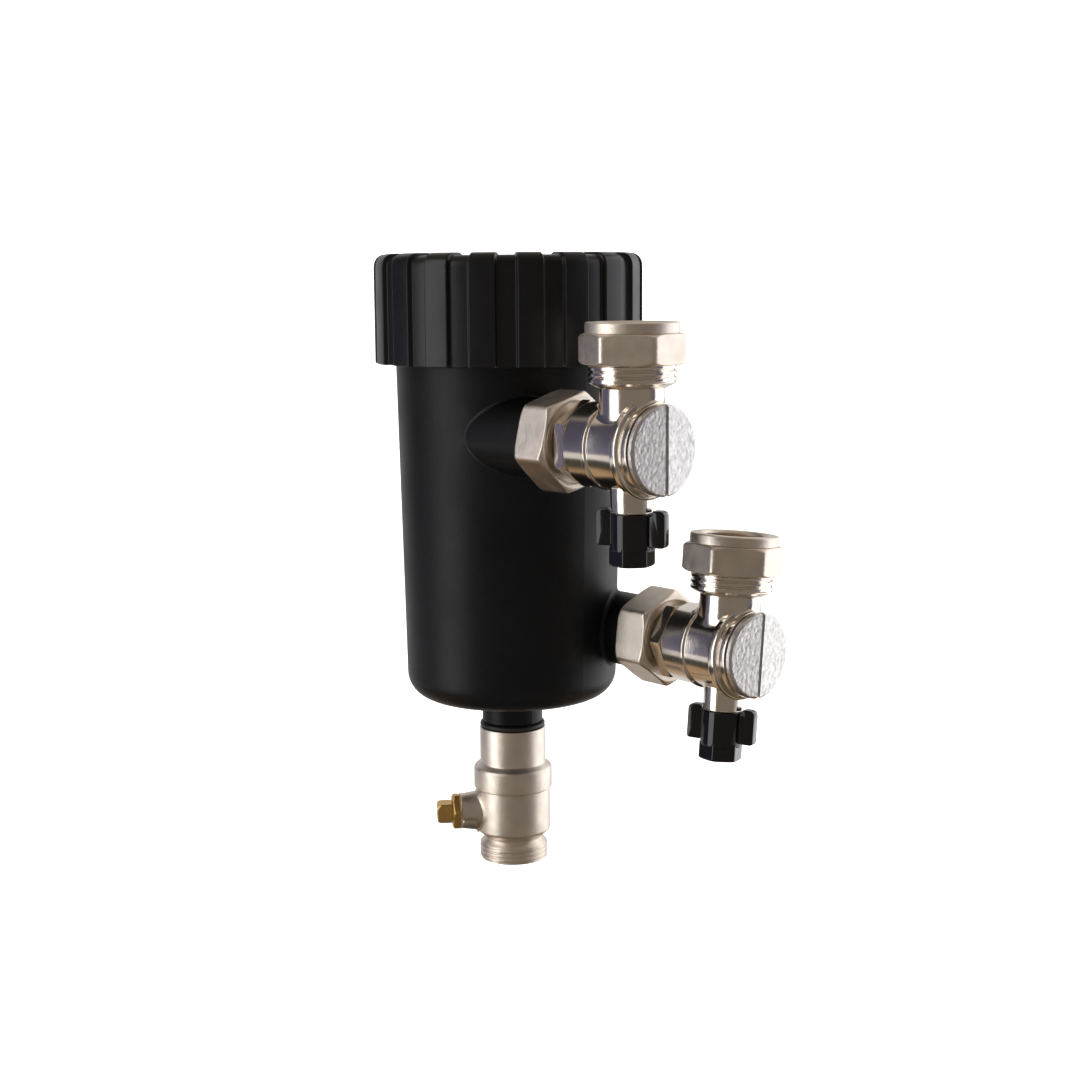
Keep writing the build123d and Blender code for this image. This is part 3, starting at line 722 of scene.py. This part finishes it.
def cap_mesh():
    """Screw cap: the outline swings between the wall's and the ribs' as it goes round."""
    wall = [
        (CAP_BORE_R, CAP_BOTTOM),
        (WALL_R, CAP_BOTTOM, 0.5),
        (WALL_R, WALL_TOP, 4.6),
        (39.5, WALL_TOP, 0.1),
        (38, WALL_TOP, 0.1),
    ]
    rib = [
        (CAP_BORE_R, CAP_BOTTOM),
        (RIB_R, CAP_BOTTOM, 0.6),
        (RIB_R, RIB_TOP, 5.4),
        (39.5, RIB_TOP, 0.9),
        (38, WALL_TOP + 0.02, 0.6),
    ]
    top = [
        (35, WALL_TOP, 1.5),
        (34, 230.2, 0.8),
        (28.05, 230.2),
        (28.05, 226.2),
        (CAP_BORE_R, 226.2),
    ]
    low = rounded(wall + top, 8)
    high = rounded(rib + top, 8)
    angles = cap_angles()
    rings = []
    for (low_r, low_z), (high_r, high_z) in zip(low, high):
        ring = []
        for angle in angles:
            swing = abs((angle - RIB_PHASE + RIB_STEP / 2) % RIB_STEP - RIB_STEP / 2)
            edge = min(max((RIB_HALF - swing) / RIB_FLANK, 0), 1)
            rise = edge * edge * (3 - 2 * edge)
            radius = low_r + (high_r - low_r) * rise
            height = low_z + (high_z - low_z) * rise
            turn = math.radians(angle)
            ring.append((radius * math.cos(turn), radius * math.sin(turn), height))
        rings.append(ring)
    return skin(rings)


# ---------------------------------------------------------------- drain valve

DRAIN_THREAD_R = 13.22
DRAIN_PITCH = 1.8
DRAIN_THREAD_TOP = 6.1
DRAIN_THREAD_STEP = 0.15
DRAIN_WAIST_R = 11.4
DRAIN_R = 14.5
BAND_R = 15.3
DRAIN_SOCKET_R = 12.8
DRAIN_SOCKET_TOP = 52.9
DRAIN_CAVITY_R = 10.25
DRAIN_BOSS_R = 7.6
DRAIN_BOSS_END = 21.3
GLAND_FLATS = 13
GLAND_END = 24.2
GLAND_TURN = 10
LUG_TURN = 71


def drain_thread(radius, height, angle):
    return radius - 0.5 * thread_depth(height, angle, DRAIN_PITCH, -0.4, DRAIN_THREAD_TOP)


def drain_body():
    """Outlet thread, waist, barrel, band and socket of the drain valve, hollow right through."""
    angles = even_angles(160)
    rings = level_rings([(7.5, 9.5), (7.5, 0.4), (7.9, 0), (12.6, 0)], angles)
    wall = [(DRAIN_THREAD_R, DRAIN_THREAD_STEP * index) for index in range(1, 41)]
    rings += level_rings(wall, angles, drain_thread)
    outline = [
        (13.0, 6.0),
        (12.9, 6.4, 0.2),
        (DRAIN_WAIST_R, 7.9, 0.8),
        (DRAIN_WAIST_R, 8.8, 0.8),
        (DRAIN_R, 11.5, 1.4),
        (DRAIN_R, 28.2, 0.15),
        (14.25, 28.35, 0.1),
        (14.3, 28.6, 0.1),
        (BAND_R, 28.75, 0.25),
        (BAND_R, 36.9, 1.8),
        (DRAIN_SOCKET_R, 38.6, 0.5),
        (DRAIN_SOCKET_R, DRAIN_SOCKET_TOP, 0.35),
        (11.4, DRAIN_SOCKET_TOP, 0.2),
        (10.5, 52.0),
        (10.5, 39.5),
        (DRAIN_CAVITY_R, 39.5),
        (DRAIN_CAVITY_R, 9.5),
        (9.0, 9.5),
    ]
    rings += level_rings(rounded(outline, 6), angles)
    return skin(rings)


def drain_boss():
    """Boss that holds the drain spindle, with a cast stop lug; upright, on a barrel along X."""
    angles = even_angles(96)
    rings = collar_rings(DRAIN_BOSS_R, DRAIN_R, 1.1, angles, 6)
    lip = [(6, 20), (DRAIN_BOSS_R, DRAIN_BOSS_END, 0.5), (5.05, DRAIN_BOSS_END), (5.05, 17)]
    rings += level_rings(rounded(lip)[1:], angles)
    lug = rounded_block((2.6, 2.6, 5.6), 0.7)
    turn = Matrix.Rotation(math.radians(LUG_TURN), 4, "Z")
    lug.transform(turn @ Matrix.Translation((7.5, 0, 18.0)))
    return joined(skin(rings), lug)


def rounded_block(size, radius):
    work = bmesh.new()
    bmesh.ops.create_cube(work, size=1)
    bmesh.ops.scale(work, vec=size, verts=work.verts)
    corners = work.edges[:] + work.verts[:]
    bmesh.ops.bevel(work, geom=corners, offset=radius, segments=3, profile=0.5, affect="EDGES")
    mesh = bpy.data.meshes.new("block")
    work.to_mesh(mesh)
    work.free()
    return mesh


def gland_nut():
    """Small hexagon on the end of the drain boss, which the spindle passes through."""
    neck = [(3.6, 17), (4.9, 17), (4.9, DRAIN_BOSS_END)]
    chamfers = (0.3, 0.9)
    return hexagon_nut(
        GLAND_FLATS,
        GLAND_TURN,
        DRAIN_BOSS_END,
        GLAND_END,
        chamfers,
        0.7,
        neck,
        [(3.6, GLAND_END)],
        144,
    )


# ---------------------------------------------------------------- put the pieces together


def build_valve(side, scale):
    """The pieces of one isolating valve, each on the body that its CAD node is on."""
    place = scale @ Matrix.Translation((VALVE_X, PORT_Y[side], PORT_Z[side]))
    place = place @ Matrix.Rotation(math.radians(-VALVE_LEAN[side]), 4, "X")
    along = place @ ALONG_X
    turned = place @ Matrix.Rotation(math.radians(KNOB_TURN), 4, "Z")
    valve = side + "_valve"
    nickel = "bright_nickel"
    satin = "satin_nickel"
    add_piece(side + "_barrel", valve_barrel(), place, nickel, valve, [side + "_valve_body"])
    add_piece(side + "_riser", valve_riser(), place, nickel, valve)
    add_piece(side + "_stem_boss", valve_boss(), place, nickel, valve)
    add_piece(side + "_plug", end_plug(), place, "plug_nickel", valve, [side + "_valve_end_plug"])
    union = side + "_union"
    add_piece(side + "_big_nut", union_nut(side), along, satin, union, [side + "_union_nut"])
    pipe = side + "_pipe_nut"
    add_piece(pipe, compression_nut(side), place, satin, pipe, [side + "_compression_nut"])
    turn = side + "_knob"
    add_piece(side + "_handle", knob(), turned, "gloss_black", turn, [side + "_valve_knob"])


def build_pieces():
    scale = Matrix.Scale(0.001, 4)
    add_piece("screw_cap", cap_mesh(), scale, "cap_nylon", "cap", ["cap"], 50)
    for side in ("upper", "lower"):
        build_valve(side, scale)
    add_piece("drain_valve", drain_body(), scale, "satin_nickel", "canister", ["drain_body"])
    spindle = scale @ Matrix.Translation((0, 0, SPINDLE_Z))
    spindle = spindle @ Matrix.Rotation(math.radians(SPINDLE_ANGLE), 4, "Z") @ ALONG_X
    add_piece("drain_boss", drain_boss(), spindle, "satin_nickel", "canister")
    add_piece("drain_gland", gland_nut(), spindle, "brass", "canister", ["drain_gland_nut"])


# ---------------------------------------------------------------- studio


AIM = Vector((0.02, 0, 0.12))
FRONT_TONE = (0.2, 0.17, 0.145)
BACKDROP_TONE = (0.7, 0.69, 0.68)


def add_light(name, place, size, power):
    data = bpy.data.lights.new(name, "AREA")
    data.shape = "RECTANGLE"
    data.size = size[0]
    data.size_y = size[1]
    data.energy = power
    light = bpy.data.objects.new(name, data)
    bpy.context.scene.collection.objects.link(light)
    light.location = place
    aim = AIM - Vector(place)
    light.rotation_euler = aim.to_track_quat("-Z", "Y").to_euler()


def toward(right, back, height):
    """A place given by its distance to the right of the object, towards the camera, and up."""
    azimuth = math.radians(CAMERA_AZIMUTH)
    x = right * math.cos(azimuth) + back * math.sin(azimuth)
    y = right * math.sin(azimuth) - back * math.cos(azimuth)
    return (x, y, height)


def span(tree, value, low, high):
    """0 where a value is at its low limit, up to 1 at its high one."""
    remap = tree.nodes.new("ShaderNodeMapRange")
    remap.inputs[1].default_value = low
    remap.inputs[2].default_value = high
    tree.links.new(value, remap.inputs[0])
    return remap.outputs[0]


def blend(tree, amount, below, tone):
    """A colour that goes over to a fixed tone."""
    mix = tree.nodes.new("ShaderNodeMix")
    mix.data_type = "RGBA"
    mix.inputs[7].default_value = (*tone, 1)
    tree.links.new(amount, mix.inputs[0])
    tree.links.new(below, mix.inputs[6])
    return mix.outputs[2]


def sky_ramp(tree, rise):
    """Room tones from straight down (0) to straight up (1)."""
    stops = [
        (0.00, (0.03, 0.022, 0.018)),
        (0.08, (0.04, 0.03, 0.022)),
        (0.12, (0.42, 0.28, 0.16)),
        (0.18, (0.42, 0.28, 0.16)),
        (0.21, (0.06, 0.055, 0.045)),
        (0.29, (0.06, 0.055, 0.045)),
        (0.31, (0.75, 0.72, 0.70)),
        (0.37, (0.75, 0.72, 0.70)),
        (0.39, (0.13, 0.12, 0.19)),
        (0.60, (0.07, 0.065, 0.11)),
        (0.80, (0.06, 0.055, 0.08)),
        (0.83, (0.50, 0.44, 0.38)),
        (1.00, (0.45, 0.40, 0.34)),
    ]
    ramp = tree.nodes.new("ShaderNodeValToRGB")
    while len(ramp.color_ramp.elements) < len(stops):
        ramp.color_ramp.elements.new(0.5)
    for element, (at, color) in zip(ramp.color_ramp.elements, stops):
        element.position = at
        element.color = (*color, 1)
    tree.links.new(rise, ramp.inputs[0])
    return ramp.outputs[0]


def add_world():
    """Room that the metal reflects: banded by height, dim in front, pale behind, white to look at."""
    world = bpy.data.worlds.new("studio")
    bpy.context.scene.world = world
    world.use_nodes = True
    tree = world.node_tree
    spot = tree.nodes.new("ShaderNodeTexCoord").outputs["Generated"]
    split = tree.nodes.new("ShaderNodeSeparateXYZ")
    tree.links.new(spot, split.inputs[0])
    room = sky_ramp(tree, span(tree, split.outputs["Z"], -1, 1))
    facing = tree.nodes.new("ShaderNodeVectorMath")
    facing.operation = "DOT_PRODUCT"
    azimuth = math.radians(CAMERA_AZIMUTH)
    facing.inputs[1].default_value = (math.sin(azimuth), -math.cos(azimuth), 0)
    tree.links.new(spot, facing.inputs[0])
    room = blend(tree, span(tree, facing.outputs["Value"], 0.2, 0.6), room, FRONT_TONE)
    room = blend(tree, span(tree, facing.outputs["Value"], -0.6, -0.75), room, BACKDROP_TONE)
    seen = tree.nodes.new("ShaderNodeLightPath").outputs["Is Camera Ray"]
    room = blend(tree, seen, room, (1, 1, 1))
    tree.links.new(room, tree.nodes["Background"].inputs["Color"])


def add_softboxes():
    add_light("softbox_left", toward(-0.95, 0.42, 0.25), (0.62, 1.5), 7.0)
    add_light("softbox_right", toward(1.05, -0.35, 0.25), (1.3, 1.6), 9.2)


def add_floor():
    """Floor that sweeps up into a backdrop behind the object."""
    low = -0.30
    curve = 0.5
    behind = 1.3
    points = [(-2.5, low)]
    for index in range(17):
        angle = math.pi / 2 * index / 16
        points.append((behind - curve + curve * math.sin(angle), low + curve - curve * math.cos(angle)))
    points.append((behind, 3.0))
    verts = []
    for distance, height in points:
        for side in (-4.0, 4.0):
            verts.append(toward(side, -distance, height))
    faces = [(2 * i, 2 * i + 1, 2 * i + 3, 2 * i + 2) for i in range(len(points) - 1)]
    mesh = bpy.data.meshes.new("floor")
    mesh.from_pydata(verts, [], faces)
    mesh.shade_smooth()
    floor = bpy.data.objects.new("floor", mesh)
    bpy.context.scene.collection.objects.link(floor)
    shader = Shader("floor_paint", (0.9, 0.9, 0.9), 0.9)
    shader.base.inputs["Emission Color"].default_value = (1, 1, 1, 1)
    shader.base.inputs["Emission Strength"].default_value = 0.85
    floor.data.materials.append(shader.material)
    floor.visible_glossy = False


bpy.context.scene.view_settings.view_transform = "Standard"
add_camera()
paint_cad_nodes()
build_pieces()
add_softboxes()
add_world()
add_floor()
